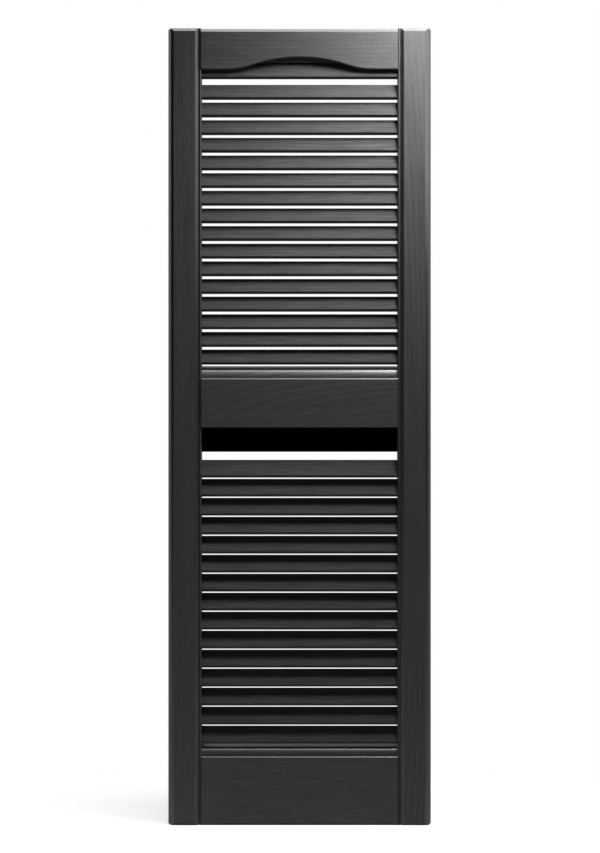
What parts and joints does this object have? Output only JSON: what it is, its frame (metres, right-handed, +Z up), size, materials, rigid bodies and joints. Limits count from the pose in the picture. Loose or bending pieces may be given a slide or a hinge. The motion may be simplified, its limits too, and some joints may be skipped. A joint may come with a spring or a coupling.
{
  "type": "louvred shutter",
  "caption": "Upright louvred shutter panel in black wood grain: bevelled stiles, arched top rail, middle and bottom rails, fixed slats.",
  "frame": {"origin": "middle of the lower end: centre of the width and of the thickness, on the plane of the stiles' feet", "axes": "+Z up along the stiles, +X across the width to the right seen from the front, the front faces -Y and the back +Y"},
  "size_m": [0.368, 0.035, 1.112],
  "materials": {
    "stile_timber": "black satin stain over vertical wood grain",
    "rail_timber": "black satin stain over horizontal wood grain",
    "slat_timber": "black satin stain over fine horizontal wood grain",
    "dowel_timber": "bare beech, hidden in the joints"
  },
  "bodies": {
    "root": {"bottom_rail": "rail_timber", "bottom_rail_dowel_left_1": "dowel_timber", "bottom_rail_dowel_left_2": "dowel_timber", "bottom_rail_dowel_right_1": "dowel_timber", "bottom_rail_dowel_right_2": "dowel_timber", "left_stile": "stile_timber", "lower_slat_01": "slat_timber", "lower_slat_02": "slat_timber", "lower_slat_03": "slat_timber", "lower_slat_04": "slat_timber", "lower_slat_05": "slat_timber", "lower_slat_06": "slat_timber", "lower_slat_07": "slat_timber", "lower_slat_08": "slat_timber", "lower_slat_09": "slat_timber", "lower_slat_10": "slat_timber", "lower_slat_11": "slat_timber", "lower_slat_12": "slat_timber", "lower_slat_13": "slat_timber", "lower_slat_14": "slat_timber", "lower_slat_15": "slat_timber", "middle_rail": "rail_timber", "middle_rail_dowel_left_1": "dowel_timber", "middle_rail_dowel_left_2": "dowel_timber", "middle_rail_dowel_right_1": "dowel_timber", "middle_rail_dowel_right_2": "dowel_timber", "right_stile": "stile_timber", "top_rail": "rail_timber", "top_rail_dowel_left_1": "dowel_timber", "top_rail_dowel_left_2": "dowel_timber", "top_rail_dowel_right_1": "dowel_timber", "top_rail_dowel_right_2": "dowel_timber", "upper_slat_01": "slat_timber", "upper_slat_02": "slat_timber", "upper_slat_03": "slat_timber", "upper_slat_04": "slat_timber", "upper_slat_05": "slat_timber", "upper_slat_06": "slat_timber", "upper_slat_07": "slat_timber", "upper_slat_08": "slat_timber", "upper_slat_09": "slat_timber", "upper_slat_10": "slat_timber", "upper_slat_11": "slat_timber", "upper_slat_12": "slat_timber", "upper_slat_13": "slat_timber", "upper_slat_14": "slat_timber", "upper_slat_15": "slat_timber", "upper_slat_16": "slat_timber", "upper_slat_17": "slat_timber"}
  },
  "joints": []
}
